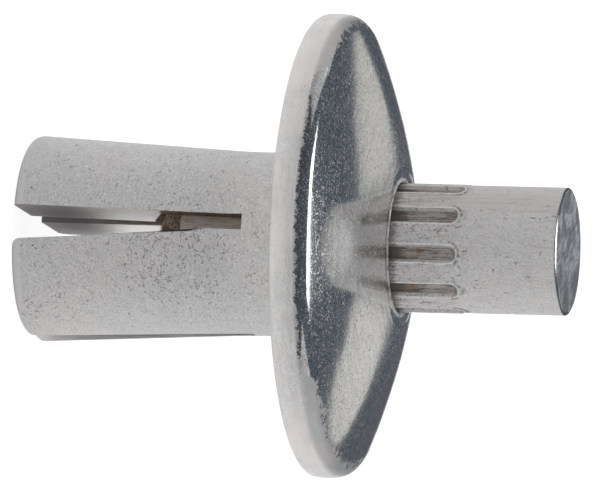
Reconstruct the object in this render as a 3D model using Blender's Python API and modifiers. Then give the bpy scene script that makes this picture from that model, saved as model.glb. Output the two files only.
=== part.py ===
"""A hammer drive anchor of quarter inch size: a one-piece aluminium body with a wide domed head,
a shank split by two crossing saw cuts into four spread legs, and a grooved pin standing in its
bore, ready to be hammered home.

Blender script, metres, +Z up. The anchor stands on the tips of its legs with its axis on Z and
the origin at the middle of the tips. The saw cuts lie in the XZ and YZ planes.
"""

import math

import bmesh
import bpy
from mathutils import Matrix

# Head
HEAD_DIAMETER = 0.01575
RIM_SIDE_HEIGHT = 0.0006
RIM_LOWER_ROUND = 0.00028
RIM_UPPER_ROUND = 0.00048
DOME_EDGE_SLOPE = math.radians(23.5)
DOME_INNER_SLOPE = math.radians(13.0)
LAND_WIDTH = 0.00048
LAND_STEP = 0.00003

# Shank and its legs
SHANK_DIAMETER = 0.00625
SHANK_LENGTH = 0.00987
NECK_FILLET = 0.0004
TIP_ROUND = 0.0004
SLOT_WIDTH = 0.00058
SAW_OFFSET = 0.0003
SAW_SKEW = math.radians(1.8)
UNCUT_NECK = 0.002
LEG_LEAN_X = math.radians(2.5)
LEG_LEAN_Y = math.radians(3.6)
LEG_BEND_LENGTH = 0.0008
BEND_RINGS = 3
WORN_CORNER_ROUND = 0.0003

# Drive pin
PIN_DIAMETER = 0.00433
PIN_STANDS_OUT = 0.00578
PIN_DEPTH_BELOW_HEAD = 0.00438
PIN_TOP_ROUND = 0.0001
PIN_POINT_CHAMFER = 0.00022

# Grooves pressed into the pin
GROOVE_COUNT = 10
GROOVE_MOUTH_WIDTH = 0.00084
GROOVE_FLOOR_WIDTH = 0.00038
GROOVE_DEPTH = 0.00017
GROOVES_ABOVE_HEAD = 0.0024
GROOVES_INSIDE_HEAD = 0.002
GROOVE_BAND_SWELL = 0.00002
FIRST_GROOVE_ANGLE = math.radians(-77.1)

# Bore
BORE_CLEARANCE = 0.00005
BORE_MOUTH_CHAMFER = 0.00004
BORE_END_GAP = 0.0006
DRILL_POINT_ANGLE = math.radians(140.0)

# Facets
BODY_STEPS = 96
BORE_STEPS = 72
ROUND_STEPS = 5
GROOVE_END_STEPS = 16

# Heights and radii that follow from the sizes above
HEAD_RADIUS = HEAD_DIAMETER / 2
SHANK_RADIUS = SHANK_DIAMETER / 2
PIN_RADIUS = PIN_DIAMETER / 2
BAND_RADIUS = PIN_RADIUS + GROOVE_BAND_SWELL
BORE_RADIUS = BAND_RADIUS + BORE_CLEARANCE
UNDERSIDE_Z = SHANK_LENGTH
SLOT_ROOT_Z = UNDERSIDE_Z - UNCUT_NECK
PIN_POINT_Z = UNDERSIDE_Z - PIN_DEPTH_BELOW_HEAD
BORE_END_Z = PIN_POINT_Z - BORE_END_GAP
CUT_MARGIN = 0.001


def arc(centre_r, centre_z, radius, start, end, steps=ROUND_STEPS):
    """Points (r, z) along an arc, from one angle to another, measured from +r towards +z."""
    points = []
    for i in range(steps + 1):
        angle = start + (end - start) * i / steps
        points.append((centre_r + radius * math.cos(angle), centre_z + radius * math.sin(angle)))
    return points


def sloped_arc(r, z, r_end, slope, slope_end, steps=ROUND_STEPS):
    """Points after (r, z) on the arc that runs outwards to r_end, falling at slope and then at
    slope_end."""
    radius = (r_end - r) / (math.sin(slope_end) - math.sin(slope))
    points = []
    for i in range(1, steps + 1):
        angle = slope + (slope_end - slope) * i / steps
        run = radius * (math.sin(angle) - math.sin(slope))
        fall = radius * (math.cos(slope) - math.cos(angle))
        points.append((r + run, z - fall))
    return points


def head_profile():
    """The head's outside from the flat land round the bore, over the dome and the rim, to the
    underside. The rim fixes the heights, and the dome rises from it. The land is set a little
    below the dome's edge, as the punch leaves it."""
    round_end = math.pi / 2 - DOME_EDGE_SLOPE
    rim_bottom = UNDERSIDE_Z + RIM_LOWER_ROUND
    rim_top = rim_bottom + RIM_SIDE_HEIGHT
    upper = arc(HEAD_RADIUS - RIM_UPPER_ROUND, rim_top, RIM_UPPER_ROUND, round_end, 0)
    lower = arc(HEAD_RADIUS - RIM_LOWER_ROUND, rim_bottom, RIM_LOWER_ROUND, 0, -math.pi / 2)
    land_r = BORE_RADIUS + LAND_WIDTH
    dome_r = land_r + LAND_STEP
    dome = sloped_arc(dome_r, 0, upper[0][0], DOME_INNER_SLOPE, DOME_EDGE_SLOPE, 2 * ROUND_STEPS)
    lift = upper[0][1] - dome[-1][1]
    crown = [(land_r, -LAND_STEP), (dome_r, 0), *dome[:-1]]
    return [(r, z + lift) for r, z in crown] + upper + lower


LAND_Z = head_profile()[0][1]
PIN_TOP_Z = LAND_Z + PIN_STANDS_OUT


def bend_levels():
    """Heights of the rings through the stretch where the legs bend, from the slots' ends down."""
    return [SLOT_ROOT_Z - LEG_BEND_LENGTH * i / BEND_RINGS for i in range(BEND_RINGS + 1)]


def body_profile():
    """The whole outside of the body before it is bored and split, from the axis back to it."""
    head = head_profile()
    neck = arc(
        SHANK_RADIUS + NECK_FILLET,
        UNDERSIDE_Z - NECK_FILLET,
        NECK_FILLET,
        math.pi / 2,
        math.pi,
    )
    tip = arc(SHANK_RADIUS - TIP_ROUND, TIP_ROUND, TIP_ROUND, 0, -math.pi / 2)
    shank = [(SHANK_RADIUS, z) for z in bend_levels()]
    return [(0, head[0][1]), *head, *neck, *shank, *tip, (0, 0)]


def bore_profile():
    """The bore with its chamfered mouth and the cone that the drill leaves."""
    cone = BORE_RADIUS / math.tan(DRILL_POINT_ANGLE / 2)
    mouth_r = BORE_RADIUS + BORE_MOUTH_CHAMFER
    return [
        (0, LAND_Z + CUT_MARGIN),
        (mouth_r, LAND_Z + CUT_MARGIN),
        (mouth_r, LAND_Z),
        (BORE_RADIUS, LAND_Z - BORE_MOUTH_CHAMFER),
        *[(BORE_RADIUS, z) for z in bend_levels()],
        (BORE_RADIUS, BORE_END_Z),
        (0, BORE_END_Z - cone),
    ]


def pin_profile():
    """The drive pin: a rounded flat top that the hammer meets, a band that the pressed grooves
    have swollen a little, and a chamfered point."""
    top = arc(PIN_RADIUS - PIN_TOP_ROUND, PIN_TOP_Z - PIN_TOP_ROUND, PIN_TOP_ROUND, math.pi / 2, 0)
    fade = GROOVE_MOUTH_WIDTH / 2
    return [
        (0, PIN_TOP_Z),
        *top,
        (PIN_RADIUS, LAND_Z + GROOVES_ABOVE_HEAD + fade),
        (BAND_RADIUS, LAND_Z + GROOVES_ABOVE_HEAD - fade),
        (BAND_RADIUS, LAND_Z - GROOVES_INSIDE_HEAD + fade),
        (PIN_RADIUS, LAND_Z - GROOVES_INSIDE_HEAD - fade),
        (PIN_RADIUS, PIN_POINT_Z + PIN_POINT_CHAMFER),
        (PIN_RADIUS - PIN_POINT_CHAMFER, PIN_POINT_Z),
        (0, PIN_POINT_Z),
    ]


def slot_outline(offset=0, skew=0, corner_round=0):
    """Section of a saw cut across its length, as (across, z). The cut has a square end. It can
    lie off the axis, lean by its skew, and leave a rounded corner on one side of the tip."""
    half = SLOT_WIDTH / 2
    levels = bend_levels()

    def across(side, z):
        return side * half + (SLOT_ROOT_Z - z) * math.tan(skew) - offset

    left = [(across(-1, z), z) for z in (-CUT_MARGIN, *reversed(levels))]
    right = [(across(1, z), z) for z in levels]
    if not corner_round:
        return [*left, *right, (across(1, -CUT_MARGIN), -CUT_MARGIN)]
    centre = across(1, corner_round) + corner_round
    mouth = arc(centre, corner_round, corner_round, math.pi, math.pi * 1.5)
    return [*left, *right, *mouth, (centre, -CUT_MARGIN)]


def turned(name, profile, steps, collection):
    """A solid of revolution about Z: the profile as a chain of edges, swept by a Screw modifier."""
    mesh = bpy.data.meshes.new(name)
    bm = bmesh.new()
    verts = [bm.verts.new((r, 0, z)) for r, z in profile]
    for a, b in zip(verts, verts[1:]):
        bm.edges.new((a, b))
    bm.to_mesh(mesh)
    bm.free()
    obj = bpy.data.objects.new(name, mesh)
    collection.objects.link(obj)
    screw = obj.modifiers.new("Turn", "SCREW")
    screw.axis = "Z"
    screw.steps = steps
    screw.render_steps = steps
    screw.use_merge_vertices = True
    screw.merge_threshold = 0.000001
    return obj


def prism(name, outline, length, collection):
    """An outline in the XZ plane pulled to a length along Y, centred on that plane."""
    mesh = bpy.data.meshes.new(name)
    bm = bmesh.new()
    verts = [bm.verts.new((x, -length / 2, z)) for x, z in outline]
    edges = [bm.edges.new((a, b)) for a, b in zip(verts, verts[1:] + verts[:1])]
    face = bmesh.ops.edgeloop_fill(bm, edges=edges)["faces"]
    pulled = bmesh.ops.extrude_face_region(bm, geom=face)["geom"]
    far = [v for v in pulled if isinstance(v, bmesh.types.BMVert)]
    bmesh.ops.translate(bm, vec=(0, length, 0), verts=far)
    bmesh.ops.recalc_face_normals(bm, faces=bm.faces)
    bm.to_mesh(mesh)
    bm.free()
    obj = bpy.data.objects.new(name, mesh)
    collection.objects.link(obj)
    return obj


def groove_cutter(name, angle, collection):
    """A trough with sloping sides and round ends: a cone's frustum, with two of its sides drawn
    out along the pin. Its small face is the groove's floor."""
    reach = GROOVE_DEPTH * 2
    floor_r = PIN_RADIUS - GROOVE_DEPTH
    side_lean = (GROOVE_MOUTH_WIDTH - GROOVE_FLOOR_WIDTH) / 2 / GROOVE_DEPTH
    half_step = math.pi / GROOVE_END_STEPS
    lay_down = Matrix.Rotation(half_step, 4, "X") @ Matrix.Rotation(math.pi / 2, 4, "Y")
    bm = bmesh.new()
    bmesh.ops.create_cone(
        bm,
        cap_ends=True,
        segments=GROOVE_END_STEPS,
        radius1=GROOVE_FLOOR_WIDTH / 2 / math.cos(half_step),
        radius2=(GROOVE_FLOOR_WIDTH / 2 + side_lean * reach) / math.cos(half_step),
        depth=reach,
        matrix=lay_down @ Matrix.Translation((0, 0, reach / 2)),
    )
    top = LAND_Z + GROOVES_ABOVE_HEAD - GROOVE_MOUTH_WIDTH / 2
    bottom = LAND_Z - GROOVES_INSIDE_HEAD + GROOVE_MOUTH_WIDTH / 2
    for v in bm.verts:
        v.co.z += top if v.co.z > 0 else bottom
    mesh = bpy.data.meshes.new(name)
    bm.to_mesh(mesh)
    bm.free()
    obj = bpy.data.objects.new(name, mesh)
    collection.objects.link(obj)
    obj.matrix_world = Matrix.Rotation(angle, 4, "Z") @ Matrix.Translation((floor_r, 0, 0))
    return obj


def cut(target, cutter):
    """Takes the cutter's shape out of the target and keeps the cutter out of the render."""
    cutter.hide_render = True
    cutter.display_type = "WIRE"
    boolean = target.modifiers.new("Cut " + cutter.name, "BOOLEAN")
    boolean.operation = "DIFFERENCE"
    boolean.solver = "EXACT"
    boolean.object = cutter


def freeze(obj):
    """Replaces the object's mesh by what its modifiers make of it."""
    graph = bpy.context.evaluated_depsgraph_get()
    mesh = bpy.data.meshes.new_from_object(obj.evaluated_get(graph))
    obj.modifiers.clear()
    obj.data = mesh


def lean_offset(depth, lean):
    """How far a leg has moved out at a depth below the slots' ends: along a curve through the
    bend, and straight below it."""
    slope = math.tan(lean)
    if depth < LEG_BEND_LENGTH:
        return slope * max(depth, 0) ** 2 / (2 * LEG_BEND_LENGTH)
    return slope * (depth - LEG_BEND_LENGTH / 2)


def spread_legs(obj):
    """Moves each leg away from both saw cuts, by more the further it lies from the head."""
    for v in obj.data.vertices:
        depth = SLOT_ROOT_Z - v.co.z
        v.co.x += math.copysign(lean_offset(depth, LEG_LEAN_X), v.co.x)
        v.co.y += math.copysign(lean_offset(depth, LEG_LEAN_Y), v.co.y)


def finish(obj, colour, roughness):
    """Smooth shading with sharp corners, and a bare metal material."""
    obj.data.shade_smooth()
    obj.data.set_sharp_from_angle(angle=math.radians(30))
    material = bpy.data.materials.new(obj.name + "_metal")
    material.use_nodes = True
    shader = material.node_tree.nodes["Principled BSDF"]
    shader.inputs["Base Color"].default_value = (*colour, 1)
    shader.inputs["Metallic"].default_value = 1
    shader.inputs["Roughness"].default_value = roughness
    obj.data.materials.clear()
    obj.data.materials.append(material)


def make_body(parts, cutters):
    """The turned blank, bored from the head, sawn twice from the tip, and its legs spread."""
    body = turned("anchor_body", body_profile(), BODY_STEPS, parts)
    reach = SHANK_DIAMETER + 2 * CUT_MARGIN
    cut(body, turned("bore_cutter", bore_profile(), BORE_STEPS, cutters))
    askew = slot_outline(SAW_OFFSET, SAW_SKEW, WORN_CORNER_ROUND)
    cut(body, prism("slot_cutter_a", askew, reach, cutters))
    crossing = prism("slot_cutter_b", slot_outline(), reach, cutters)
    crossing.matrix_world = Matrix.Rotation(math.pi / 2, 4, "Z")
    bpy.context.view_layer.update()
    cut(body, crossing)
    freeze(body)
    spread_legs(body)
    finish(body, (0.62, 0.62, 0.63), 0.4)


def make_pin(parts, cutters):
    """The plain pin with its ring of pressed grooves where the head grips it."""
    pin = turned("drive_pin", pin_profile(), BORE_STEPS, parts)
    for i in range(GROOVE_COUNT):
        angle = FIRST_GROOVE_ANGLE + 2 * math.pi * i / GROOVE_COUNT
        cut(pin, groove_cutter(f"groove_cutter_{i + 1}", angle, cutters))
    bpy.context.view_layer.update()
    freeze(pin)
    finish(pin, (0.58, 0.56, 0.54), 0.45)


def new_collection(name):
    collection = bpy.data.collections.new(name)
    bpy.context.scene.collection.children.link(collection)
    return collection


def main():
    for obj in list(bpy.data.objects):
        bpy.data.objects.remove(obj, do_unlink=True)
    parts = new_collection("hammer_drive_anchor")
    cutters = new_collection("cutters")
    cutters.hide_render = True
    make_body(parts, cutters)
    make_pin(parts, cutters)


main()
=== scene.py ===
"""Finish, studio and camera of the hammer drive anchor.

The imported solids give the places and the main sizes. The body and the pin are built again here as
fine smooth meshes, with their metal finishes, and stand on a pale floor.
Metres, +Z up, the anchor's axis on Z.
"""

from math import copysign, cos, exp, hypot, pi, radians, sin, tan

import bmesh
import bpy
from bpy.props import FloatProperty, FloatVectorProperty, IntProperty, PointerProperty
from bpy.types import Operator, Panel, PropertyGroup
from mathutils import Matrix, Vector, noise


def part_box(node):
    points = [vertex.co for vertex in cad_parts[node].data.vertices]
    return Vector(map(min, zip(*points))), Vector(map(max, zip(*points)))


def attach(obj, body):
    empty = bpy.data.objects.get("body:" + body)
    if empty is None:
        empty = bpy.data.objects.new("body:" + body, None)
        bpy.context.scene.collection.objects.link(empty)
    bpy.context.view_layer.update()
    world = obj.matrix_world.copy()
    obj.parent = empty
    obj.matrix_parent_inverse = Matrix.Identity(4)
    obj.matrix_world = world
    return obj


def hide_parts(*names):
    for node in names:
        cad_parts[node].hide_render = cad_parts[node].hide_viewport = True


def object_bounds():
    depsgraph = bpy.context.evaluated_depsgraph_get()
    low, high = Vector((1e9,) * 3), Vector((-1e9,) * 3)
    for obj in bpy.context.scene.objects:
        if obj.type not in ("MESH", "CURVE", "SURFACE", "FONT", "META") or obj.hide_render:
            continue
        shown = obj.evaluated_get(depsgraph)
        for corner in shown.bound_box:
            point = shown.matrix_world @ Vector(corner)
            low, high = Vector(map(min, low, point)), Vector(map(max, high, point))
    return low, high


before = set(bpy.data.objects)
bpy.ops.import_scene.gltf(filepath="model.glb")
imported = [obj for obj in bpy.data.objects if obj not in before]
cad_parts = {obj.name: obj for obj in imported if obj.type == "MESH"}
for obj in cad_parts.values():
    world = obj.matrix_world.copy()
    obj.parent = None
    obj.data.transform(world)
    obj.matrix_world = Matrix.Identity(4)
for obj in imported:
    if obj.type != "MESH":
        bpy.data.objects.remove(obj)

bl_info = {
    "name": "Hammer Drive Anchor",
    "version": (1, 0, 0),
    "blender": (4, 5, 0),
    "location": "3D View > Sidebar > Drive Anchor",
    "description": "Builds a hammer drive anchor with its metal finishes, studio and camera",
    "category": "Object",
}

CAD_LOW, CAD_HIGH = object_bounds()
BODY_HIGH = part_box("anchor_body")[1]
PIN_LOW, PIN_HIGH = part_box("drive_pin")
MM = 0.001
SAME_POINT = 0.0001 * MM
# How far a cutter reaches past what it cuts, and close rings past a groove's ends.
CUT_MARGIN = 1 * MM
GROOVE_MARGIN = 0.12 * MM
FLOOR_GAP = 0.01 * MM
WORN_EDGE = 0.035 * MM
BORE_STEPS = 144
WHITE = (1, 1, 1)
BLACK = (0, 0, 0)

# Lamps and cards stand round this point at this distance. Their azimuths and elevations are in
# degrees, the azimuths from +Y towards +X, and a level of 1 is white.
CARD_MIDDLE = Vector((0, 0, 0.011))
CARD_DISTANCE = 0.4
# Name, azimuth, elevation, width and height in degrees, turn in its own plane, level.
LAMPS = (
    ("left_wall", -86, 24, 44, 46, 0, 0.36),
    ("left_wall_inner", -54, 22, 18, 40, 0, 0.4),
    ("right_wall", 84, 28, 52, 56, 0, 0.42),
    ("right_wall_inner", 43, 24, 26, 42, 0, 0.38),
    ("high_strip", -25, 71.5, 31, 20, -10, 2.6),
)
CARD_COLOUR = (1.0, 0.99, 0.955)
LEFT_LEVEL = 0.54
RIGHT_LEVEL = 0.62
LEFT_CARD = (
    (-16.6, 45.2), (-20.8, 41.6), (-23.3, 37.8), (-24.5, 34.8), (-24.9, 31.0), (-24.9, 28.0),
    (-24.6, 24.7), (-23.9, 21.0), (-22.8, 17.0), (-21.0, 12.8), (-19.4, 12.0), (-17.3, 13.2),
    (-17.0, 18.0), (-16.8, 30.0),
)
RIGHT_CARD = (
    (0.6, 45.3), (3.5, 45.0), (5.5, 43.4), (7.9, 42.2), (10.8, 40.6), (12.0, 38.0), (12.4, 34.2),
    (12.5, 31.0), (11.9, 28.5), (11.0, 26.0), (8.0, 22.5), (5.0, 21.5), (3.2, 22.3), (1.5, 24.0),
    (0.4, 27.0), (0.2, 33.0),
)
# The dark card's outline as (x, z), and its place along Y.
FLAG_OUTLINE = (
    (-0.055, 0), (0.0195, 0), (0.0195, 0.035), (-0.033, 0.035), (-0.033, 0.016), (-0.055, 0.016),
)
FLAG_Y = 0.1195


def length(name, description, default):
    """A size in metres that a user may change."""
    return FloatProperty(
        name=name, description=description, default=default, min=0, precision=5, unit="LENGTH"
    )


def angle(name, description, degrees):
    """An angle that a user may change."""
    return FloatProperty(
        name=name, description=description, default=radians(degrees), subtype="ANGLE"
    )


def colour(name, description, default):
    """A colour that a user may change."""
    return FloatVectorProperty(
        name=name, description=description, default=default, size=3, min=0, max=1, subtype="COLOR"
    )


def share(name, description, default):
    """A number from 0 to 1 that a user may change."""
    return FloatProperty(name=name, description=description, default=default, min=0, max=1)


class AnchorBodySettings(PropertyGroup):
    """Sizes and colours of the one-piece body."""

    head_radius: length("Head radius", "Radius of the wide head", BODY_HIGH.x)
    land_height: length("Land height", "Height of the flat ring round the bore", BODY_HIGH.z)
    underside: length("Underside", "Height of the head's underside over the leg tips", 0.00987)
    rim_side: length("Rim side", "Height of the rim's straight side", 0.00052)
    rim_lower_round: length("Rim lower round", "Radius of the rim's lower edge", 0.00028)
    rim_upper_round: length("Rim upper round", "Radius of the rim's upper edge", 0.0006)
    dome_edge_slope: angle("Dome edge slope", "Slope of the dome where it meets the rim", 23.5)
    dome_inner_slope: angle("Dome inner slope", "Slope of the dome where it meets the land", 13.0)
    land_width: length("Land width", "Width of the flat ring round the bore", 0.00048)
    land_step: length("Land step", "Depth of the land below the dome's edge", 0.00003)
    shank_radius: length("Shank radius", "Radius of the shank at its neck", 0.003125)
    neck_fillet: length("Neck fillet", "Radius between the shank and the head", 0.0004)
    tip_round: length("Tip round", "Radius round the leg tips", 0.0004)
    slot_width: length("Slot width", "Width of both saw cuts", 0.000536)
    saw_offset: length("Saw offset", "How far the first cut starts off the axis", 0.000322)
    saw_skew: angle("Saw skew", "Lean of the first cut", 1.8)
    uncut_neck: length("Uncut neck", "Length of shank that the cuts leave whole", 0.002)
    leg_lean_x: angle("Leg lean across", "Lean of the legs away from the first cut", 2.5)
    leg_lean_y: angle("Leg lean along", "Lean of the legs away from the second cut", 3.6)
    leg_bend: length("Leg bend", "Length over which a leg bends", 0.0008)
    worn_corner: length("Worn corner", "Radius of the tip's worn corner at the first cut", 0.0003)
    bore_radius: length("Bore radius", "Radius of the bore", 0.002235)
    bore_chamfer: length("Bore chamfer", "Chamfer at the bore's mouth", 0.00004)
    bore_end_gap: length("Bore end gap", "Room between the pin's point and the bore's end", 0.0006)
    drill_angle: angle("Drill angle", "Full angle of the cone at the bore's end", 140.0)
    steps: IntProperty(name="Steps", description="Facets round the body", default=256, min=48)
    rim_crown: length("Rim crown", "How far the rim's side swells at its middle", 0.000015)
    mouth_lip: length("Mouth lip", "Height of the bead raised round the bore's mouth", 0.00004)
    mouth_radius: length("Mouth radius", "Radius where the bore's mouth grips the pin", 0.002205)
    mouth_depth: length("Mouth depth", "Depth of the tighter mouth", 0.0002)
    matt_colour: colour("Matt metal", "Shank", (0.675, 0.67, 0.665))
    rim_colour: colour("Rim metal", "Side and underside of the head", (0.71, 0.7, 0.69))
    polish_colour: colour("Burnished metal", "Dome and rounded edge", (0.88, 0.88, 0.87))
    sawn_colour: colour("Sawn metal", "Walls of the saw cuts", (0.9, 0.88, 0.87))
    residue_colour: colour("Residue", "Dirt in the bore", (0.1, 0.075, 0.055))


class AnchorPinSettings(PropertyGroup):
    """Sizes and colours of the grooved drive pin."""

    radius: length("Radius", "Radius of the plain pin", 0.002165)
    top: length("Top", "Height of the struck end", PIN_HIGH.z)
    point: length("Point", "Height of the pin's point", PIN_LOW.z)
    end_corner: length("End corner", "Small radius at both sides of the worn bevel", 0.00005)
    end_bevel: length("End bevel", "Large radius of the bevel worn round the end", 0.00045)
    bevel_low: angle("Bevel low", "Lean of the bevel's outer side", 55.0)
    bevel_high: angle("Bevel high", "Lean of the bevel's inner side", 67.0)
    point_chamfer: length("Point chamfer", "Chamfer at the point", 0.00022)
    groove_count: IntProperty(name="Grooves", description="Pressed grooves", default=10, min=0)
    first_groove: angle("First groove", "Angle of the first groove round the axis", -77.1)
    groove_mouth: length("Groove mouth", "Width of a groove at the surface", 0.00058)
    groove_floor: length("Groove floor", "Width of a groove's floor", 0.00038)
    groove_depth: length("Groove depth", "Depth of a groove", 0.00013)
    above_head: length("Grooves above head", "Reach of the grooves over the land", 0.0023)
    inside_head: length("Grooves inside head", "Reach of the grooves below the land", 0.002)
    lip_height: length("Lip height", "Metal raised round a groove", 0.00003)
    lip_width: length("Lip width", "Width of the metal raised round a groove", 0.00005)
    steps: IntProperty(name="Steps", description="Facets round the pin", default=400, min=48)
    side_colour: colour("Side metal", "Drawn side of the pin", (0.76, 0.75, 0.74))
    end_colour: colour("End metal", "Sheared face of the struck end", (0.6, 0.63, 0.65))
    groove_colour: colour("Groove dirt", "Dirt in the grooves", (0.13, 0.11, 0.095))
    rust_colour: colour("Brown dirt", "Brown dirt in the grooves by the head", (0.33, 0.22, 0.15))


class AnchorStageSettings(PropertyGroup):
    """Floor, light and camera."""

    floor_size: length("Floor size", "Side of the floor", 3.0)
    floor_colour: colour("Floor", "Pale floor, over its even light", (0.3, 0.3, 0.3))
    floor_glow: share("Floor evenness", "Share of white that no shadow can darken", 0.9)
    flag_colour: colour("Flag", "Dark card low behind the anchor", (0.15, 0.16, 0.19))
    fill_colour: colour("Dim room", "Room that polished metal mirrors", (0.065, 0.08, 0.1))
    room_colour: colour("Room light", "Even light that the room gives matt metal", (0.7, 0.7, 0.71))
    camera_azimuth: angle("Camera azimuth", "Camera's place round the anchor", 8.0)
    camera_elevation: angle("Camera elevation", "Camera's height over the horizon", 12.54)
    camera_roll: angle("Camera roll", "Lean of the axis off the picture's level line", 1.43)
    camera_distance: length("Camera distance", "From the camera to its aim", 0.4066)
    camera_lens: FloatProperty(
        name="Lens", description="Focal length in millimetres", default=720.0, min=50
    )
    camera_aim: FloatVectorProperty(
        name="Aim", description="Point at the picture's middle", size=3, subtype="TRANSLATION",
        default=(0.000183, -0.00035, 0.009329),
    )


def evenly(start, end, count):
    """Values from start to end in so many equal steps."""
    return [start + (end - start) * i / count for i in range(count + 1)]


def runs(start, end, step):
    """Evenly spaced values from start to end, about a step apart."""
    return evenly(start, end, max(1, round(abs(end - start) / step)))


def arc(centre_r, centre_z, radius, start, end, steps):
    """Points (r, z) along an arc, from one angle to another, measured from +r towards +z."""
    turns = evenly(start, end, steps)
    return [(centre_r + radius * cos(turn), centre_z + radius * sin(turn)) for turn in turns]


def sloped_arc(r, z, r_end, slope, slope_end, steps):
    """Points after (r, z) on the arc that runs outwards to r_end, falling at slope and then at
    slope_end."""
    radius = (r_end - r) / (sin(slope_end) - sin(slope))
    points = []
    for turn in evenly(slope, slope_end, steps)[1:]:
        run = radius * (sin(turn) - sin(slope))
        fall = radius * (cos(slope) - cos(turn))
        points.append((r + run, z - fall))
    return points


def placed(name, data):
    """A new object in the scene."""
    obj = bpy.data.objects.new(name, data)
    bpy.context.scene.collection.objects.link(obj)
    return obj


def shell(name, bm, *materials):
    """An object made of a finished bmesh, with its materials."""
    mesh = bpy.data.meshes.new(name)
    bm.to_mesh(mesh)
    bm.free()
    for material in materials:
        mesh.materials.append(material)
    return placed(name, mesh)


def turned(name, profile, steps, material):
    """A solid of revolution about Z, from a profile that a Screw modifier sweeps."""
    bm = bmesh.new()
    verts = [bm.verts.new((r, 0, z)) for r, z in profile]
    for a, b in zip(verts, verts[1:]):
        bm.edges.new((a, b))
    obj = shell(name, bm, material)
    screw = obj.modifiers.new("Turn", "SCREW")
    screw.axis = "Z"
    screw.steps = steps
    screw.render_steps = steps
    screw.use_merge_vertices = True
    screw.merge_threshold = SAME_POINT
    return obj


def prism(name, outline, reach, material):
    """An outline in the XZ plane pulled to a length along Y, centred on that plane."""
    bm = bmesh.new()
    verts = [bm.verts.new((x, -reach / 2, z)) for x, z in outline]
    edges = [bm.edges.new((a, b)) for a, b in zip(verts, verts[1:] + verts[:1])]
    face = bmesh.ops.edgeloop_fill(bm, edges=edges)["faces"]
    pulled = bmesh.ops.extrude_face_region(bm, geom=face)["geom"]
    far = [v for v in pulled if isinstance(v, bmesh.types.BMVert)]
    bmesh.ops.translate(bm, vec=(0, reach, 0), verts=far)
    bmesh.ops.recalc_face_normals(bm, faces=bm.faces)
    return shell(name, bm, material)


def cut(target, cutter):
    """Takes the cutter's shape out of the target, whose cut faces get the cutter's material."""
    boolean = target.modifiers.new("Cut " + cutter.name, "BOOLEAN")
    boolean.operation = "DIFFERENCE"
    boolean.solver = "EXACT"
    boolean.material_mode = "TRANSFER"
    boolean.object = cutter


def freeze(obj, cutters):
    """Replaces the object's mesh by what its modifiers make of it, and removes the cutters."""
    bpy.context.view_layer.update()
    graph = bpy.context.evaluated_depsgraph_get()
    mesh = bpy.data.meshes.new_from_object(obj.evaluated_get(graph))
    obj.modifiers.clear()
    obj.data = mesh
    for cutter in cutters:
        bpy.data.objects.remove(cutter, do_unlink=True)


def smooth(obj, crease):
    """Smooth shading with sharp corners."""
    obj.data.shade_smooth()
    obj.data.set_sharp_from_angle(angle=crease)


class Nodes:
    """The nodes of one shader tree."""

    def __init__(self, tree):
        self.tree = tree

    def feed(self, node, inputs):
        """Joins a node's inputs to other nodes' outputs, or sets them to numbers or colours."""
        for name, value in inputs.items():
            socket = node.inputs[name]
            if isinstance(value, bpy.types.NodeSocket):
                self.tree.links.new(value, socket)
            elif socket.type == "RGBA":
                socket.default_value = (*value, 1.0)
            else:
                socket.default_value = value

    def add(self, kind, inputs=None, **settings):
        """The outputs of a new node with these settings and inputs."""
        node = self.tree.nodes.new("ShaderNode" + kind)
        for name, value in settings.items():
            setattr(node, name, value)
        self.feed(node, inputs or {})
        return node.outputs

    def calc(self, operation, a, b=0.0):
        """One or two numbers through a Math node."""
        return self.add("Math", {0: a, 1: b}, operation=operation)["Value"]

    def plus(self, a, b):
        return self.calc("ADD", a, b)

    def less(self, a, b):
        return self.calc("SUBTRACT", a, b)

    def times(self, a, b):
        return self.calc("MULTIPLY", a, b)

    def most(self, a, b):
        return self.calc("MAXIMUM", a, b)

    def blend(self, factor, a, b):
        """Colour a turning into colour b with the factor."""
        return self.add("Mix", {"Factor": factor, "A": a, "B": b}, data_type="RGBA")["Result"]

    def layered(self, base, *coats):
        """A base colour under coats, each given by its cover from 0 to 1, its colour and, where
        it is thin, its strength."""
        for cover, tint, *strength in coats:
            base = self.blend(self.times(cover, *strength) if strength else cover, base, tint)
        return base


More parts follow.
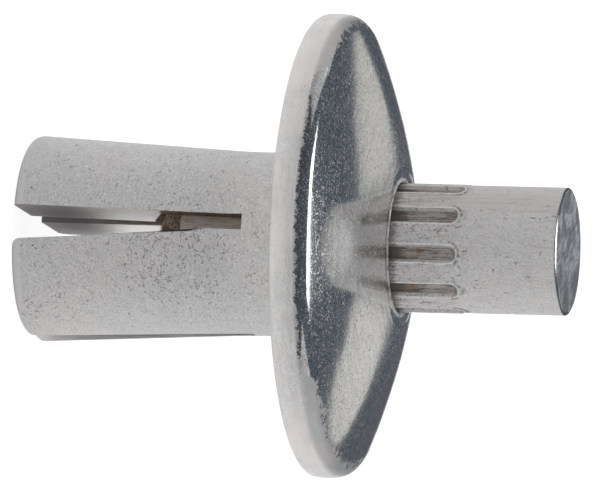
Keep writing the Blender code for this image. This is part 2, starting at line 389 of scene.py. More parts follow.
class Finish(Nodes):
    """One material and the shader nodes that make it, placed by the anchor's own frame."""

    def __init__(self, name):
        self.material = bpy.data.materials.new(name)
        self.material.use_nodes = True
        super().__init__(self.material.node_tree)
        self.shader = self.tree.nodes["Principled BSDF"]
        self.place = self.scaled((1 / MM, 1 / MM, 1 / MM), self.add("TexCoord")["Object"])

    def scaled(self, scale, vector=None):
        """The place, or another vector, scaled along X, Y and Z."""
        return self.add("Mapping", {"Vector": vector or self.place, "Scale": scale})["Vector"]

    def drawn_out(self, stretch, tilt, turn):
        """The place with its texture drawn out along a line that leans off Z by the tilt, in
        degrees, towards a side given by the turn."""
        angles = (radians(tilt), 0, radians(turn))
        inputs = {"Vector": self.place, "Rotation": angles, "Scale": (1, 1, stretch)}
        return self.add("Mapping", inputs, vector_type="TEXTURE")["Vector"]

    def turned_flat(self, turn, scale):
        """The place turned round Z by degrees and then scaled."""
        inputs = {"Vector": self.place, "Rotation": (0, 0, radians(turn))}
        return self.scaled(scale, self.add("Mapping", inputs)["Vector"])

    def round_axis(self, scale, level):
        """Place drawn out round the anchor's axis, for marks that run in rings: the level is the
        number that tells one ring from the next."""
        unit = self.add("VectorMath", {0: self.scaled((1, 1, 0))}, operation="NORMALIZE")
        ring = self.add("VectorMath", {0: unit["Vector"], "Scale": scale}, operation="SCALE")
        rise = self.add("CombineXYZ", {"Z": self.times(level, scale)})
        both = {0: ring["Vector"], 1: rise["Vector"]}
        return self.add("VectorMath", both, operation="ADD")["Vector"]

    def noise(self, scale, detail, roughness, vector=None):
        """Soft noise, its scale given in cycles a millimetre."""
        inputs = {"Scale": scale, "Detail": detail, "Roughness": roughness}
        return self.add("TexNoise", {"Vector": vector or self.place, **inputs})["Fac"]

    def span(self, value, low, high, to_low=0.0, to_high=1.0):
        """Maps low..high to to_low..to_high and holds what lies outside."""
        ends = {"From Min": low, "From Max": high, "To Min": to_low, "To Max": to_high}
        inputs = {"Value": value, **ends}
        return self.add("MapRange", inputs, interpolation_type="SMOOTHSTEP")["Result"]

    def axis(self, index):
        """The place along X, Y or Z, in millimetres."""
        return self.add("SeparateXYZ", {"Vector": self.place})[index]

    def radius(self):
        """Distance from the anchor's axis, in millimetres."""
        return self.add("VectorMath", {0: self.scaled((1, 1, 0))}, operation="LENGTH")["Value"]

    def near(self, point, inner, outer):
        """1 within the inner distance of a point, falling to 0 at the outer one, in millimetres."""
        away = self.add("VectorMath", {0: self.place, 1: point}, operation="DISTANCE")["Value"]
        return self.span(away, outer, inner)

    def attribute(self, name):
        """A number that the mesh carries at its vertices."""
        return self.add("Attribute", attribute_name=name)["Fac"]

    def worn_edges(self):
        """Normals that turn softly over each sharp edge, as wear leaves it."""
        return self.add("Bevel", {"Radius": WORN_EDGE}, samples=4)["Normal"]

    def bump(self, height, depth, normal=None):
        """Normals of a height from 0 to 1 that is worth a depth in metres."""
        below = {} if normal is None else {"Normal": normal}
        return self.add("Bump", {"Height": height, "Distance": depth, **below})["Normal"]

    def use(self, colour, roughness, normal, metallic):
        """Gives the metal shader its inputs."""
        surface = {"Roughness": roughness, "Normal": normal, "Metallic": metallic}
        self.feed(self.shader, {"Base Color": colour, **surface})
        return self.material


def shade(value, factor, warmth=0.0):
    """A colour made darker or lighter, and redder by the warmth."""
    red, green, blue = (min(1.0, c * factor) for c in value)
    return (min(1.0, red * (1 + warmth)), green * (1 - warmth / 3), blue * (1 - warmth))


def strokes(look, scale, sets):
    """Noise drawn out in a few directions, for short marks where it is high. Each set is a tilt
    and a turn in degrees."""
    total = 0.0
    for tilt, turn in sets:
        drawn = look.noise(scale, 1.5, 0.5, look.drawn_out(3.5, tilt, turn))
        total = look.most(total, drawn)
    return total


def matt_finish(settings):
    """Tumbled aluminium of the shank: dull grey with fine grain, pits and short marks, thickest
    low on the front leg. The pits and marks carry painted shade with a painted highlight in their
    cores, and painted shade darkens the leg tips."""
    look = Finish("aluminium_matt")
    matt = settings.matt_colour
    grain = look.noise(14, 2, 0.7)
    fine = look.noise(22, 1, 0.6)
    blotch = look.noise(3.0, 3, 0.65)
    cloud = look.noise(0.42, 1, 0.5, look.scaled((1, 1, 0.6)))
    height = look.axis(2)
    worst = look.near((0.7, -3.0, 5.6), 0.8, 2.8)
    crowd = look.most(worst, look.span(look.noise(0.5, 1, 0.5), 0.45, 0.7, 0, 0.5))
    low = look.span(crowd, 0, 1, 0.74, 0.655)
    stroke = strokes(look, 6.5, ((58, 88), (-52, 94), (60, -4), (-55, 6)))
    marks = look.span(stroke, low, look.plus(low, 0.05))
    cores = look.span(stroke, look.plus(low, 0.045), look.plus(low, 0.07))
    pits = look.span(look.noise(9, 1, 0.5), look.plus(low, 0.02), 0.8)
    hollow = look.most(marks, pits)
    base = look.layered(
        matt,
        (look.span(cloud, 0.5, 0.66), shade(matt, 1, 0.03)),
        (look.span(blotch, 0.6, 0.3), shade(matt, 0.9)),
        (look.span(grain, 0.54, 0.26), shade(matt, 0.64)),
        (look.span(fine, 0.52, 0.72), shade(matt, 1.25)),
        # Painted shade in the pits and marks, and a painted highlight in the marks' cores.
        (hollow, shade(matt, 0.35), 0.45),
        (cores, shade(matt, 1.4), 0.8),
        # Painted shade over the lowest part of the legs, darkest at the tips' very ends.
        (look.span(height, 0.7, 0.05), shade(matt, 0.84)),
        (look.span(height, 0.13, 0.04), shade(matt, 0.5)),
    )
    roughness = look.span(grain, 0.3, 0.7, 0.44, 0.56)
    normal = look.bump(grain, 0.014 * MM, look.worn_edges())
    normal = look.bump(blotch, 0.02 * MM, normal)
    normal = look.bump(look.less(1.0, hollow), 0.06 * MM, normal)
    return look.use(base, roughness, normal, 0.6)


def head_finish(settings):
    """The head: satin on the rim's side and below, burnished and scuffed over its edge and
    dome. The border between the two is ragged, and rises over the edge at both ends. A painted dark
    reflection lies along the polished edge, a painted reflection lightens the dome round the bore,
    and the bead round the mouth carries a painted highlight."""
    look = Finish("aluminium_head")
    satin, clean = settings.rim_colour, settings.polish_colour
    rim_edge = (settings.underside + settings.rim_lower_round + settings.rim_side) / MM
    land = (settings.bore_radius + settings.land_width) / MM
    mouth = (settings.mouth_radius + settings.bore_chamfer) / MM
    across = look.axis(0)
    sideways = look.calc("ABSOLUTE", across)
    radius = look.radius()
    jag = look.noise(4, 4, 0.8, look.scaled((1, 1, 0.5)))
    height = look.plus(look.axis(2), look.span(jag, 0.34, 0.66, -0.09, 0.09))
    satin_top = look.plus(
        look.span(sideways, 4.9, 5.4, rim_edge + 0.12, rim_edge + 0.47),
        look.span(across, 4.9, 5.4, 0.0, 0.1),
    )
    border = look.span(height, satin_top, look.plus(satin_top, 0.04))
    # A band along the polished edge, fading out towards both ends, that is painted darker as a dark
    # reflection; satin chips lie in it.
    beside = look.span(height, rim_edge + 0.36, rim_edge + 0.2)
    beside = look.times(beside, look.span(sideways, 6.6, 5.6))
    chips = look.times(beside, look.span(look.noise(7, 3, 0.75), 0.6, 0.64))
    lip = look.span(radius, mouth + 0.14, mouth + 0.11)
    polish = look.less(border, look.times(border, look.most(chips, lip)))
    near_bore = look.span(radius, land + 2.6, land)
    grain = look.noise(14, 2, 0.7)
    speckle = look.noise(21, 1, 0.7)
    blotch = look.noise(2.2, 3, 0.65)
    streaks = look.noise(1.0, 3, 0.65, look.round_axis(6, look.axis(2)))
    rings = look.noise(1.0, 3, 0.65, look.round_axis(5, radius))
    scratches = look.span(strokes(look, 9, ((80, 15), (35, 60), (-40, 0))), 0.68, 0.72)
    scuffed = look.most(look.span(speckle, 0.6, 0.74), scratches)
    patchy = look.span(look.noise(2.5, 2, 0.6), 0.35, 0.6, 0.25, 1.0)
    rim = look.layered(
        satin,
        (look.span(blotch, 0.6, 0.32), shade(satin, 0.9)),
        (look.span(streaks, 0.55, 0.36), shade(satin, 0.88)),
        (look.span(grain, 0.52, 0.26), shade(satin, 0.8)),
        (look.span(look.noise(0.5, 1, 0.5), 0.5, 0.66), shade(satin, 1, 0.03)),
        # Painted highlight along the bead round the mouth, broken by darker patches.
        (look.times(lip, patchy), shade(satin, 1.38)),
        (look.times(lip, look.span(patchy, 0.8, 0.3)), shade(satin, 0.6)),
    )
    bright = look.layered(
        clean,
        (look.span(rings, 0.6, 0.35), shade(clean, 0.84)),
        (look.span(look.noise(10, 2, 0.7), 0.5, 0.3), shade(clean, 0.6)),
        # Painted dark reflection along the edge.
        (beside, shade(clean, 0.6, 0.1), 0.8),
        # Painted reflection: the dome is lighter round the bore, where the pin is mirrored.
        (near_bore, shade(clean, 1.12, 0.01), 0.6),
    )
    base = look.blend(polish, rim, bright)
    cluster = look.span(look.noise(4, 2, 0.6), 0.35, 0.65, 0.35, 1.0)
    flecks = look.times(look.span(look.noise(15, 2, 0.75), 0.5, 0.68), cluster)
    rubbed = look.near((0.75, -5.6, 12.0), 0.2, 1.3)
    dulled = look.plus(look.times(flecks, 0.42), look.times(rubbed, 0.38))
    gloss = look.plus(look.times(scuffed, 0.17), 0.1)
    gloss = look.plus(gloss, look.times(near_bore, 0.06))
    roughness = look.add("Mix", {"Factor": polish, "A": 0.4, "B": gloss}, data_type="FLOAT")
    normal = look.bump(grain, look.span(polish, 0, 1, 0.01 * MM, 0.0005 * MM))
    normal = look.bump(scuffed, look.span(polish, 0, 1, 0.006 * MM, 0.0006 * MM), normal)
    normal = look.bump(rings, look.span(near_bore, 0, 1, 0.001 * MM, 0.006 * MM), normal)
    metal = look.less(look.span(polish, 0, 1, 0.65, 1), look.times(dulled, polish))
    return look.use(base, roughness["Result"], normal, metal)


def sawn_finish(settings, name, crossing):
    """Walls of a saw cut, darker and duller towards the tips, lighter farther in, and stained
    beside the bore, lower down on the far side. The crossing cut is painted darker as shade in its
    gap, but for its outer ends, which are painted lighter where it opens to the light."""
    look = Finish(name)
    # The crossing cut's walls are painted darker as shade in its narrow gap.
    sawn = shade(settings.sawn_colour, 0.6 if crossing else 1.0)
    residue = settings.residue_colour
    height = look.axis(2)
    streaks = look.noise(2.0, 4, 0.6, look.scaled((6, 6, 0.5)))
    stain = look.noise(2.4, 3, 0.65, look.scaled((2.5, 2.5, 1)))
    tips = look.span(look.plus(height, streaks), 4.2, 1.4)
    level = look.plus(height, look.times(look.axis(1), 0.222))
    beside = look.span(look.plus(level, look.times(stain, 0.3)), 4.45, 4.6)
    dirty = look.blend(look.span(stain, 0.35, 0.6), shade(residue, 1.5), shade(residue, 4.0))
    base = look.layered(
        shade(sawn, 0.86),
        (look.span(streaks, 0.3, 0.7), shade(sawn, 1, 0.03)),
        (tips, shade(sawn, 0.54)),
        (beside, dirty),
    )
    dull = look.most(look.times(tips, 0.55), beside)
    if crossing:
        brown = look.times(look.span(height, 1.9, 2.5), look.span(stain, 0.4, 0.6))
        # Painted light at the crossing cut's outer ends, where the cut opens.
        outer = look.span(look.calc("ABSOLUTE", look.axis(0)), 1.6, 2.6)
        base = look.layered(
            base,
            (brown, shade(residue, 3.5), 0.7),
            (outer, shade(settings.sawn_colour, 0.75)),
        )
        dull = look.less(dull, look.times(dull, outer))
    roughness = look.span(dull, 0, 1, 0.31, 0.95)
    normal = look.bump(streaks, 0.01 * MM, look.worn_edges())
    return look.use(base, roughness, normal, look.span(dull, 0, 1, 0.71, 0.1))


def bore_finish(settings):
    """The bore's wall, under brown residue with a few streaks rubbed bare."""
    look = Finish("bore_residue")
    sawn = settings.sawn_colour
    dirt = look.noise(2.2, 4, 0.65, look.scaled((3, 3, 1)))
    base = look.layered(
        shade(settings.residue_colour, 5.0),
        (look.span(dirt, 0.35, 0.6), shade(sawn, 1.1, 0.1)),
        (look.span(look.noise(3, 2, 0.6), 0.6, 0.72), sawn),
    )
    return look.use(base, 0.6, look.bump(dirt, 0.04 * MM), 0.4)


def bend_levels(settings, root):
    """Heights of the rings through the stretch where the legs bend."""
    return runs(root, root - settings.leg_bend, 0.1 * MM)


def mouth_bead(settings, inner, low):
    """The bead round the bore's mouth, from its inner foot over the top and down a flat flank."""
    flank = radians(29)
    curl = 0.75 * settings.mouth_lip
    crest = low + settings.mouth_lip - curl
    bead = arc(inner + curl, crest, curl, pi, pi / 2 - flank, 8)
    r, z = bead[-1]
    drop = z - low
    run = drop / tan(flank)
    near_foot = 0.85
    return [(inner, low), *bead, (r + near_foot * run, z - near_foot * drop), (r + run, low)]


def body_profile(settings, root):
    """The body's whole outside before it is bored and split, from the axis back to it."""
    round_end = pi / 2 - settings.dome_edge_slope
    rim_bottom = settings.underside + settings.rim_lower_round
    rim_top = rim_bottom + settings.rim_side
    side_r = settings.head_radius - settings.rim_crown
    upper_r, lower_r = side_r - settings.rim_upper_round, side_r - settings.rim_lower_round
    upper = arc(upper_r, rim_top, settings.rim_upper_round, round_end, 0, 16)
    lower = arc(lower_r, rim_bottom, settings.rim_lower_round, 0, -pi / 2, 10)
    side = []
    for share_down in (0.25, 0.5, 0.75):
        sunk = settings.rim_crown * (2 * share_down - 1) ** 2
        side.append((settings.head_radius - sunk, rim_top - share_down * settings.rim_side))
    land_r = settings.bore_radius + settings.land_width
    dome_r = land_r + settings.land_step
    dome = sloped_arc(
        dome_r, 0, upper[0][0], settings.dome_inner_slope, settings.dome_edge_slope, 30
    )
    lift = upper[0][1] - dome[-1][1]
    mouth_r = settings.mouth_radius + settings.bore_chamfer
    low = -settings.land_step
    bead = mouth_bead(settings, mouth_r, low)
    crown = [(0, low), *bead, (land_r, low), (dome_r, 0), *dome[:-1]]
    head = [(r, z + lift) for r, z in crown] + upper + side + lower
    fillet = settings.neck_fillet
    neck_r = settings.shank_radius + fillet
    neck = arc(neck_r, settings.underside - fillet, fillet, pi / 2, pi, 8)
    underside = [(r, settings.underside) for r in runs(lower_r, neck_r, 0.4 * MM)[1:-1]]
    tip_r = settings.shank_radius - settings.tip_round
    tip = arc(tip_r, settings.tip_round, settings.tip_round, 0, -pi / 2, 10)
    levels = bend_levels(settings, root)
    levels += runs(levels[-1], settings.tip_round, 0.4 * MM)[1:-1]
    shank = [(settings.shank_radius, z) for z in levels]
    return [*head, *underside, *neck, *shank, *tip, (0, 0)]


def bore_profile(settings, root, point):
    """The bore with its chamfered mouth and the cone that the drill leaves."""
    radius = settings.bore_radius
    mouth = settings.mouth_radius
    chamfer = settings.bore_chamfer
    grip_end = settings.land_height - settings.mouth_depth
    end = point - settings.bore_end_gap
    cone = radius / tan(settings.drill_angle / 2)
    return [
        (0, settings.land_height + CUT_MARGIN),
        (mouth + chamfer, settings.land_height + CUT_MARGIN),
        (mouth + chamfer, settings.land_height),
        (mouth, settings.land_height - chamfer),
        (mouth, grip_end),
        (radius, grip_end - (radius - mouth)),
        *[(radius, z) for z in bend_levels(settings, root)],
        (radius, end),
        (0, end - cone),
    ]


def slot_outline(settings, root, offset=0.0, skew=0.0, corner=0.0):
    """Section of a saw cut across its length, as (across, z), with a square end."""
    half = settings.slot_width / 2
    levels = bend_levels(settings, root)

    def across(side, z):
        return side * half + (root - z) * tan(skew) - offset

    left = [(across(-1, z), z) for z in (-CUT_MARGIN, *reversed(levels))]
    right = [(across(1, z), z) for z in levels]
    if not corner:
        return [*left, *right, (across(1, -CUT_MARGIN), -CUT_MARGIN)]
    centre = across(1, corner) + corner
    mouth = arc(centre, corner, corner, pi, pi * 1.5, 10)
    return [*left, *right, *mouth, (centre, -CUT_MARGIN)]


def lean_offset(depth, lean, bend):
    """How far a leg has moved out at a depth below the slots' ends."""
    slope = tan(lean)
    if depth < bend:
        return slope * max(depth, 0) ** 2 / (2 * bend)
    return slope * (depth - bend / 2)


def spread_legs(obj, settings, root):
    """Moves each leg away from both saw cuts, by more the further it lies from the head."""
    leans = (settings.leg_lean_x, settings.leg_lean_y)
    for v in obj.data.vertices:
        depth = root - v.co.z
        for axis, lean in enumerate(leans):
            v.co[axis] += copysign(lean_offset(depth, lean, settings.leg_bend), v.co[axis])


def dent_head(obj, settings):
    """Presses shallow unevenness into the head, as its die and tumbling leave it."""
    floor = settings.underside + settings.rim_lower_round / 2
    wave, depth = 0.9 * MM, 0.006 * MM
    for v in obj.data.vertices:
        flat = hypot(v.co.x, v.co.y)
        if v.co.z > floor and flat > settings.bore_radius + settings.land_width:
            dip = (noise.noise(v.co / wave) + 1) / 2 * depth
            v.co -= Vector((v.co.x / flat, v.co.y / flat, 1)).normalized() * dip


def build_body(settings, pin):
    """The fine body: turned, bored, sawn twice, its legs spread."""
    root = settings.underside - settings.uncut_neck
    matt = matt_finish(settings)
    sawn = sawn_finish(settings, "aluminium_sawn", False)
    crossed = sawn_finish(settings, "aluminium_sawn_crossing", True)
    body = turned("body_metal_shell", body_profile(settings, root), settings.steps, matt)
    reach = 2 * (settings.shank_radius + CUT_MARGIN)
    bored = bore_profile(settings, root, pin.point)
    bore = turned("bore_tool", bored, BORE_STEPS, bore_finish(settings))
    askew = slot_outline(
        settings, root, settings.saw_offset, settings.saw_skew, settings.worn_corner
    )
    first = prism("saw_tool_first", askew, reach, sawn)
    second = prism("saw_tool_second", slot_outline(settings, root), reach, crossed)
    second.matrix_world = Matrix.Rotation(pi / 2, 4, "Z")
    tools = (bore, first, second)
    for tool in tools:
        cut(body, tool)
    freeze(body, tools)
    mark_head(body, settings, head_finish(settings))
    spread_legs(body, settings, root)
    dent_head(body, settings)
    smooth(body, radians(32))
    return body


def mark_head(obj, settings, material):
    """Gives the head's outside, from the underside up, its own finish."""
    mesh = obj.data
    matt_index = mesh.materials.find("aluminium_matt")
    mesh.materials.append(material)
    head_index = len(mesh.materials) - 1
    floor = settings.underside - 0.5 * settings.neck_fillet
    for face in mesh.polygons:
        if face.material_index == matt_index and face.center.z > floor:
            face.material_index = head_index


def hill(value, middle, width):
    """1 at the middle, falling away to both sides within about the width."""
    return exp(-(((value - middle) / width) ** 2))


def groove_cross(settings, across, z, land):
    """Shares at a place of a groove's depth, of its raised lip, and of the painted shadow past
    its end.
    """
    half = settings.groove_mouth / 2
    lip_width = settings.lip_width
    top = land + settings.above_head - half
    bottom = land - settings.inside_head + half
    away = hypot(across, max(z - top, bottom - z, 0.0))
    t = min(1.0, max(0.0, (half - away) / (half - settings.groove_floor / 2)))
    depth = t * t * (3 - 2 * t)
    lip = hill(away - half, lip_width / 2, lip_width)
    # Painted shadow: a dark ring just outside the lip at the groove's upper end.
    painted_lip_shadow = hill(away - half, 2.2 * lip_width, 0.9 * lip_width)
    rise = 0.15 * MM
    end = min(1.0, max(0.0, (z - top + GROOVE_MARGIN) / rise))
    return depth, lip, painted_lip_shadow * end


def end_edge(settings):
    """The worn edge of the struck end, from the pin's side in to the end face, as (r, z)."""
    low, high = settings.bevel_low, settings.bevel_high
    bends = (
        (0, low, settings.end_corner, 4),
        (low, high, settings.end_bevel, 4),
        (high, pi / 2, settings.end_corner, 3),
    )
    points = [(settings.radius, 0)]
    for start, end, radius, steps in bends:
        r, z = points[-1]
        centre_r, centre_z = r - radius * cos(start), z - radius * sin(start)
        points += arc(centre_r, centre_z, radius, start, end, steps)[1:]
    lift = settings.top - points[-1][1]
    return [(r, z + lift) for r, z in points]


def pin_rows(settings, land):
    """Rings of the pin from its struck end to its point, as (r, z), closer where it is grooved."""
    r = settings.radius
    edge = end_edge(settings)[::-1]
    face = [(x, settings.top) for x in runs(0, edge[0][0], 0.18 * MM)[1:-1]]
    groove_top = land + settings.above_head + GROOVE_MARGIN
    groove_end = land - settings.inside_head - GROOVE_MARGIN
    run_out = groove_top - 0.7 * MM
    plain = [(r, z) for z in runs(edge[-1][1], groove_top, 0.2 * MM)[1:]]
    ends = [(r, z) for z in runs(groove_top, run_out, 0.03 * MM)[1:]]
    middle = [(r, z) for z in runs(run_out, groove_end, 0.08 * MM)[1:]]
    chamfer = settings.point_chamfer
    lower = [(r, z) for z in runs(groove_end, settings.point + chamfer, 0.3 * MM)[1:]]
    point = [(x, settings.point) for x in runs(r - chamfer, 0, 0.3 * MM)[:-1]]
    return face + edge + plain + ends + middle + lower + point


def build_pin(settings, body):
    """The drive pin as a grid of rings, with its grooves pressed in and their lips raised."""
    land = body.land_height
    bm = bmesh.new()
    layers = [bm.verts.layers.float.new(name) for name in ("groove", "lip", "painted_lip_shadow")]
    pitch = 2 * pi / max(1, settings.groove_count)
    rings = []
    for r, z in pin_rows(settings, land):
        ring = []
        for i in range(settings.steps):
            turn = 2 * pi * i / settings.steps
            shares = (0.0, 0.0, 0.0)
            if r > settings.radius - 0.01 * MM and settings.groove_count:
                off = (turn - settings.first_groove + pitch / 2) % pitch - pitch / 2
                shares = groove_cross(settings, off * settings.radius, z, land)
            bulge = r - shares[0] * settings.groove_depth + shares[1] * settings.lip_height
            vert = bm.verts.new((bulge * cos(turn), bulge * sin(turn), z))
            for layer, value in zip(layers, shares):
                vert[layer] = value
            ring.append(vert)
        rings.append(ring)
    pairs = [(i, (i + 1) % settings.steps) for i in range(settings.steps)]
    for upper, lower in zip(rings, rings[1:]):
        for i, j in pairs:
            bm.faces.new((upper[i], lower[i], lower[j], upper[j]))
    top = bm.verts.new((0, 0, settings.top))
    point = bm.verts.new((0, 0, settings.point))
    for i, j in pairs:
        bm.faces.new((top, rings[0][i], rings[0][j]))
        bm.faces.new((point, rings[-1][j], rings[-1][i]))
    pin = shell("pin_metal_shell", bm, pin_finish(settings, land), end_finish(settings))
    near_top, near_level = settings.top - 0.02 * MM, 0.97
    for face in pin.data.polygons:
        if face.center.z > near_top and face.normal.z > near_level:
            face.material_index = 1
    smooth(pin, radians(40))
    return pin


def pin_finish(settings, land):
    """Drawn aluminium of the pin: dull, burnished round its struck end, and with grooves that are
    grey at their ends, brown farther in and darkest by the head. The grooves' grey is painted
    shade;
    the brown and darkest parts are dirt over it."""
    look = Finish("aluminium_drawn")
    side, dirt = settings.side_colour, settings.groove_colour
    above = land / MM
    height = look.axis(2)
    grain = look.noise(14, 2, 0.7)
    fine = look.noise(22, 1, 0.6)
    blotch = look.noise(2.4, 3, 0.6)
    lines = look.noise(3.0, 4, 0.75, look.scaled((5, 5, 0.55)))
    stain = look.noise(0.9, 2, 0.6)
    drawn = look.noise(2.0, 3, 0.7, look.scaled((5, 5, 0.3)))
    marks = look.span(strokes(look, 7, ((4, 0), (62, 88), (-50, 94))), 0.715, 0.78)
    hollow = look.most(marks, look.span(look.noise(6, 1.5, 0.6), 0.72, 0.78))
    rubbed = look.span(height, above + 2.5, above + 1.5)
    dragged = look.span(look.axis(0), -0.6, -1.5)
    streak = look.times(dragged, look.span(drawn, 0.46, 0.34))
    speck = look.span(look.noise(9, 2, 0.7), 0.56, 0.7)
    ragged = look.span(look.noise(6, 3, 0.7), 0.42, 0.58)
    along = look.plus(height, look.times(lines, 0.9))
    brown = look.span(along, above + 1.9, above + 1.4)
    low = look.span(look.plus(height, lines), above + 0.85, above + 0.5)
    # Groove floors: painted shade as a darker grey, with brown and dark dirt over it.
    floor = look.layered(
        shade(side, 0.6, 0.06),
        (look.times(brown, look.span(stain, 0.46, 0.56)), settings.rust_colour),
        (look.span(along, above + 1.15, above + 0.75), dirt),
        (look.span(lines, 0.56, 0.36), dirt),
    )
    hidden = look.layered(
        shade(side, 0.8, 0.2),
        (look.span(lines, 0.33, 0.56), shade(side, 1.3, 0.1)),
    )
    base = look.layered(
        side,
        (look.span(blotch, 0.52, 0.68), shade(side, 1, 0.04)),
        (look.span(blotch, 0.5, 0.28), shade(side, 0.87)),
        (look.span(drawn, 0.5, 0.3), shade(side, 0.85, 0.03)),
        (look.span(grain, 0.54, 0.26), shade(side, 0.68)),
        (look.span(fine, 0.52, 0.75), shade(side, 1.16)),
        (dragged, shade(side, 0.86, 0.02), 0.75),
        (streak, shade(side, 0.55, 0.06), 0.5),
        (look.times(rubbed, look.span(lines, 0.5, 0.3)), shade(side, 0.5, 0.08)),
        (look.times(rubbed, speck), shade(side, 0.45, 0.08)),
        # Painted shadow past the lip at each groove's upper end, broken up.
        (look.times(look.attribute("painted_lip_shadow"), ragged), shade(side, 0.2)),
        # Painted shade in the pits and marks.
        (hollow, shade(side, 0.3), 0.6),
        (look.span(look.attribute("groove"), 0.6, 0.95), floor),
        (low, dirt, 0.75),
        (look.span(height, above - 1.5, above - 2.5), hidden),
    )
    rise = end_edge(settings)[0][1] / MM
    edge = look.span(height, rise + 0.005, rise + 0.03)
    worn = look.most(edge, look.attribute("lip"))
    roughness = look.span(worn, 0.3, 1.0, 0.54, 0.2)
    normal = look.bump(grain, look.span(edge, 0, 1, 0.014 * MM, 0.001 * MM))
    normal = look.bump(lines, look.span(rubbed, 0, 1, 0.002 * MM, 0.016 * MM), normal)
    normal = look.bump(look.less(1.0, hollow), 0.03 * MM, normal)
    return look.use(base, roughness, normal, look.span(edge, 0, 1, 0.3, 1))


def end_finish(settings):
    """The sheared end face, with scratches and dull patches."""
    look = Finish("aluminium_sheared")
    end = settings.end_colour
    lines = look.noise(1.5, 4, 0.7, look.turned_flat(52, (1.0, 6, 1)))
    patch = look.noise(1.1, 3, 0.65)
    grain = look.noise(13, 2, 0.6)
    scars = look.noise(2.2, 3, 0.6, look.turned_flat(50, (1.0, 3.5, 1)))
    worse = look.span(look.axis(0), -0.8, 1.2)
    deep = look.times(look.span(scars, 0.58, 0.66), look.span(worse, 0, 1, 0.4, 1))
    base = look.layered(
        shade(end, 0.82),
        (look.span(patch, 0.42, 0.6), shade(end, 1.45)),
        (look.span(lines, 0.56, 0.36), shade(end, 0.55)),
        (look.span(grain, 0.5, 0.25), shade(end, 0.65)),
        (worse, shade(end, 0.6), 0.5),
        (deep, shade(end, 0.3)),
    )
    roughness = look.span(patch, 0.35, 0.65, 0.3, 0.5)
    normal = look.bump(lines, 0.025 * MM)
    normal = look.bump(grain, 0.006 * MM, normal)
    return look.use(base, roughness, normal, 0.7)


def floor_finish(settings):
    """Pale floor that the camera and the metal see as an even white with a faint shadow, and
    that the camera sees through from below."""
    look = Finish("pale_floor")
    look.feed(look.shader, {"Base Color": settings.floor_colour, "Roughness": 0.9})
    path = look.add("LightPath")
    seen = look.most(path["Is Camera Ray"], path["Is Glossy Ray"])
    seen = look.most(seen, path["Is Transmission Ray"])
    glow = look.add("Emission", {"Strength": look.times(seen, settings.floor_glow)})
    both = look.add("AddShader", {0: look.shader.outputs["BSDF"], 1: glow["Emission"]})
    below = look.add("NewGeometry")["Backfacing"]
    clear = look.add("BsdfTransparent")["BSDF"]
    sides = look.add("MixShader", {"Fac": below, 1: both["Shader"], 2: clear})
    look.feed(look.tree.nodes["Material Output"], {"Surface": sides["Shader"]})
    return look.material


def build_floor(settings):
    """A square floor just under the leg tips."""
    bm = bmesh.new()
    bmesh.ops.create_grid(bm, x_segments=2, y_segments=2, size=settings.floor_size / 2)
    bmesh.ops.translate(bm, vec=(0, 0, CAD_LOW.z - FLOOR_GAP), verts=bm.verts)
    shell("floor", bm, floor_finish(settings))


def build_world(settings):
    """White for the camera, a dim room for metal to mirror, and an even light for the rest."""
    world = bpy.data.worlds.new("studio")
    bpy.context.scene.world = world
    world.use_nodes = True
    nodes = Nodes(world.node_tree)
    path = nodes.add("LightPath")
    seen = nodes.most(path["Is Camera Ray"], path["Is Transmission Ray"])
    room = nodes.blend(path["Is Glossy Ray"], settings.room_colour, settings.fill_colour)
    nodes.feed(nodes.tree.nodes["Background"], {"Color": nodes.blend(seen, room, WHITE)})


def build_camera(settings):
    """The camera at the photograph's angle, rolled so that the anchor lies on its side."""
    az, el = settings.camera_azimuth, settings.camera_elevation
    roll = settings.camera_roll
    back = Vector((sin(az) * cos(el), -cos(az) * cos(el), sin(el)))
    level = Vector((cos(az), sin(az), 0))
    rise = back.cross(level)
    right = rise * cos(roll) - level * sin(roll)
    up = back.cross(right)
    data = bpy.data.cameras.new("camera")
    data.lens = settings.camera_lens
    data.sensor_width = 36.0
    data.clip_start = 0.01
    data.clip_end = 10.0
    camera = placed("camera", data)
    axes = Matrix((right, up, back)).transposed().to_4x4()
    place = Vector(settings.camera_aim) + back * settings.camera_distance
    camera.matrix_world = Matrix.Translation(place) @ axes
    bpy.context.scene.camera = camera


def direction(azimuth, elevation):
    """Unit vector by degrees round from +Y towards +X, and degrees over the horizon."""
    az, el = radians(azimuth), radians(elevation)
    return Vector((sin(az) * cos(el), cos(az) * cos(el), sin(el)))


def softbox(name, azimuth, elevation, width, height, turn, level):
    """A soft lamp that faces the anchor, its width and height in degrees as seen from there."""
    data = bpy.data.lights.new(name, "AREA")
    data.shape = "RECTANGLE"
    data.size = 2 * CARD_DISTANCE * tan(radians(width) / 2)
    data.size_y = 2 * CARD_DISTANCE * tan(radians(height) / 2)
    data.energy = level * pi * data.size * data.size_y
    lamp = placed(name, data)
    towards = direction(azimuth, elevation)
    lamp.location = CARD_MIDDLE + towards * CARD_DISTANCE
    lamp.rotation_mode = "QUATERNION"
    facing = (-towards).to_track_quat("-Z", "Y")
    lamp.rotation_quaternion = facing @ Matrix.Rotation(radians(turn), 4, "Z").to_quaternion()
    lamp.visible_camera = False


def card(name, corners, look):
    """A flat card that the camera doesn't see and that casts no shadow."""
    bm = bmesh.new()
    bm.faces.new([bm.verts.new(corner) for corner in corners])
    obj = shell(name, bm, look.material)
    obj.visible_camera = False
    obj.visible_shadow = False
    return obj


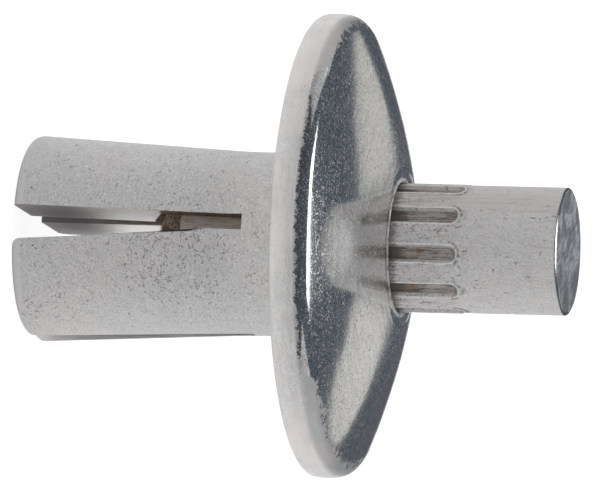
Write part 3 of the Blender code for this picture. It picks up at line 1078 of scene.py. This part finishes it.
def pale_card(name, outline, level):
    """A pale card cut to an outline given by azimuth and elevation, and lit to a level."""
    look = Finish("lit_card_" + name)
    dull = {"Base Color": BLACK, "Roughness": 1.0, "Specular IOR Level": 0.0}
    lit = {"Emission Color": CARD_COLOUR, "Emission Strength": level}
    look.feed(look.shader, {**dull, **lit})
    corners = [CARD_MIDDLE + direction(az, el) * CARD_DISTANCE for az, el in outline]
    card(name, corners, look)


def build_lamps():
    """Wide soft walls at both sides, and a high lamp and two small cards behind."""
    for lamp in LAMPS:
        softbox(*lamp)
    pale_card("left_card", LEFT_CARD, LEFT_LEVEL)
    pale_card("right_card", RIGHT_CARD, RIGHT_LEVEL)


def build_flag(settings):
    """A dark card low behind the anchor, which only the metal sees, to edge the bright dome."""
    look = Finish("dark_card")
    look.feed(look.shader, {"Base Color": settings.flag_colour, "Roughness": 1.0})
    flag = card("dark_flag", [(x, FLAG_Y, z) for x, z in FLAG_OUTLINE], look)
    flag.visible_diffuse = False


class ANCHOR_OT_body(Operator):
    """Builds the one-piece body in place of its plain solid"""

    bl_idname = "drive_anchor.body"
    bl_label = "Anchor Body"

    def execute(self, context):
        body = build_body(context.scene.anchor_body, context.scene.anchor_pin)
        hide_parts("anchor_body")
        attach(body, "root")
        return {"FINISHED"}


class ANCHOR_OT_pin(Operator):
    """Builds the grooved drive pin in place of its plain solid"""

    bl_idname = "drive_anchor.pin"
    bl_label = "Drive Pin"

    def execute(self, context):
        pin = build_pin(context.scene.anchor_pin, context.scene.anchor_body)
        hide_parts("drive_pin")
        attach(pin, "root")
        return {"FINISHED"}


class ANCHOR_OT_stage(Operator):
    """Sets up the floor, the light and the camera"""

    bl_idname = "drive_anchor.stage"
    bl_label = "Studio Stage"

    def execute(self, context):
        settings = context.scene.anchor_stage
        context.scene.view_settings.view_transform = "Standard"
        build_world(settings)
        build_floor(settings)
        build_camera(settings)
        build_lamps()
        build_flag(settings)
        return {"FINISHED"}


class ANCHOR_PT_sidebar(Panel):
    """Lists the anchor's pieces and the stage"""

    bl_idname = "ANCHOR_PT_sidebar"
    bl_label = "Drive Anchor"
    bl_space_type = "VIEW_3D"
    bl_region_type = "UI"
    bl_category = "Drive Anchor"

    def draw(self, context):
        for operator in OPERATORS:
            self.layout.operator(operator.bl_idname)


SETTINGS = {
    "anchor_body": AnchorBodySettings,
    "anchor_pin": AnchorPinSettings,
    "anchor_stage": AnchorStageSettings,
}
OPERATORS = (ANCHOR_OT_body, ANCHOR_OT_pin, ANCHOR_OT_stage)
CLASSES = (*SETTINGS.values(), *OPERATORS, ANCHOR_PT_sidebar)


def register():
    for cls in CLASSES:
        bpy.utils.register_class(cls)
    for name, group in SETTINGS.items():
        setattr(bpy.types.Scene, name, PointerProperty(type=group))


def unregister():
    for name in SETTINGS:
        delattr(bpy.types.Scene, name)
    for cls in reversed(CLASSES):
        bpy.utils.unregister_class(cls)


def main():
    register()
    bpy.ops.drive_anchor.body()
    bpy.ops.drive_anchor.pin()
    bpy.ops.drive_anchor.stage()


if __name__ == "__main__":
    main()
